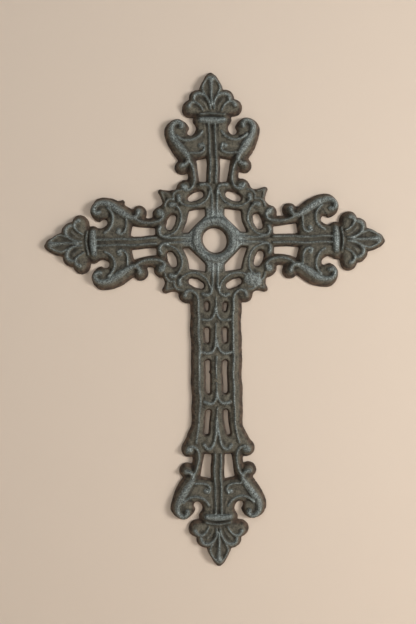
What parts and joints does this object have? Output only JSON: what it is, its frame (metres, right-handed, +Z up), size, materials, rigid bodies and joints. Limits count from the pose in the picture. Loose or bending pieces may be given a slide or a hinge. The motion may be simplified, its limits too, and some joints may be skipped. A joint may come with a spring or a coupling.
{
  "type": "openwork wall cross",
  "caption": "Cast iron openwork wall cross with a ring at the crossing, scrolled arms ending in palmettes, and a longer pierced shaft below, flat at the back.",
  "frame": {"origin": "on the flat back, behind the collar below the top palmette, where the cross hangs against the wall", "axes": "+Z up along the shaft towards the top palmette, +Y out of the back into the wall, +X towards the right arm as seen from the front"},
  "size_m": [0.2347, 0.0086, 0.3396],
  "materials": {
    "cast_iron": "old weathered cast iron, dark rust brown in the recesses, worn blue grey and slightly shiny on the raised ridges"
  },
  "bodies": {
    "root": {"cross": "cast_iron"}
  },
  "joints": []
}
